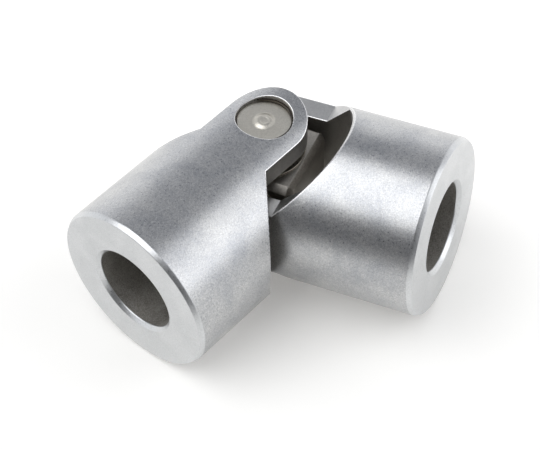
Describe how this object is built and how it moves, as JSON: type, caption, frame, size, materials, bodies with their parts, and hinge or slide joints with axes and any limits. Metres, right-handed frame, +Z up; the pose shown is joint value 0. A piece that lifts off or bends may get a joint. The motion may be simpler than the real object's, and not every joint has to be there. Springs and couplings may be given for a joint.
{
  "type": "universal joint shaft",
  "caption": "Single universal joint for joining two shafts at an angle: bored steel hubs forked into ears, joined by a sealed cross in needle bearings, shown sharply bent.",
  "frame": {"origin": "on the ground under the middle of the joint as it lies bent, at the bottom centre of its box", "axes": "+Z up; -X along the hub axis of yoke A, out of its shaft bore; yoke B points towards -Y and a little +X"},
  "size_m": [0.059, 0.053, 0.032],
  "materials": {
    "yoke_steel": "turned and milled bright carbon steel, satin",
    "cup_steel": "drawn and case-hardened bearing steel, warm grey satin",
    "ring_steel": "oiled spring steel",
    "cross_steel": "case-hardened steel, machined, light oil film",
    "thrust_steel": "ground bearing steel",
    "seal_rubber": "moulded nitrile rubber, matt",
    "shield_steel": "pressed steel sheet",
    "needle_steel": "ground and polished bearing steel"
  },
  "bodies": {
    "yoke_a": {"yoke_a": "yoke_steel", "bearing_cup_a1": "cup_steel", "bearing_cup_a2": "cup_steel", "snap_ring_a1": "ring_steel", "snap_ring_a2": "ring_steel"},
    "cross": {"cross": "cross_steel", "thrust_disc_a1": "thrust_steel", "seal_a1": "seal_rubber", "dust_shield_a1": "shield_steel", "thrust_disc_a2": "thrust_steel", "seal_a2": "seal_rubber", "dust_shield_a2": "shield_steel", "thrust_disc_b1": "thrust_steel", "seal_b1": "seal_rubber", "dust_shield_b1": "shield_steel", "thrust_disc_b2": "thrust_steel", "seal_b2": "seal_rubber", "dust_shield_b2": "shield_steel"},
    "yoke_b": {"yoke_b": "yoke_steel", "bearing_cup_b1": "cup_steel", "bearing_cup_b2": "cup_steel", "snap_ring_b1": "ring_steel", "snap_ring_b2": "ring_steel"},
    "needles_a1": {"needle_set_a1": "needle_steel"},
    "needles_a2": {"needle_set_a2": "needle_steel"},
    "needles_b1": {"needle_set_b1": "needle_steel"},
    "needles_b2": {"needle_set_b2": "needle_steel"}
  },
  "joints": [
    {"name": "pivot_a", "type": "hinge", "parent": "yoke_a", "child": "cross", "pos_m": [0.00451, 0.01054, 0.016], "axis": [0, -0.0729, 0.9973], "range_deg": [-2, 148]},
    {"name": "pivot_b", "type": "hinge", "parent": "cross", "child": "yoke_b", "pos_m": [0.00451, 0.01054, 0.016], "axis": [0.9563, 0.2916, 0.0213], "range_deg": [-6, 14]},
    {"name": "needle_orbit_a1", "type": "hinge", "parent": "yoke_a", "child": "needles_a1", "pos_m": [0.00451, 0.01054, 0.016], "axis": [0, -0.0729, 0.9973], "range_deg": [-1.36, 63.93]},
    {"name": "needle_orbit_a2", "type": "hinge", "parent": "yoke_a", "child": "needles_a2", "pos_m": [0.00451, 0.01054, 0.016], "axis": [0, -0.0729, 0.9973], "range_deg": [-1.36, 63.93]},
    {"name": "needle_orbit_b1", "type": "hinge", "parent": "cross", "child": "needles_b1", "pos_m": [0.00451, 0.01054, 0.016], "axis": [0.9563, 0.2916, 0.0213], "range_deg": [-3.93, 8.5]},
    {"name": "needle_orbit_b2", "type": "hinge", "parent": "cross", "child": "needles_b2", "pos_m": [0.00451, 0.01054, 0.016], "axis": [0.9563, 0.2916, 0.0213], "range_deg": [-3.93, 8.5]}
  ],
  "couplings": [
    {"joint": "needle_orbit_a1", "follows": "pivot_a", "ratio": 0.42857},
    {"joint": "needle_orbit_a2", "follows": "pivot_a", "ratio": 0.42857},
    {"joint": "needle_orbit_b1", "follows": "pivot_b", "ratio": 0.57143},
    {"joint": "needle_orbit_b2", "follows": "pivot_b", "ratio": 0.57143}
  ]
}
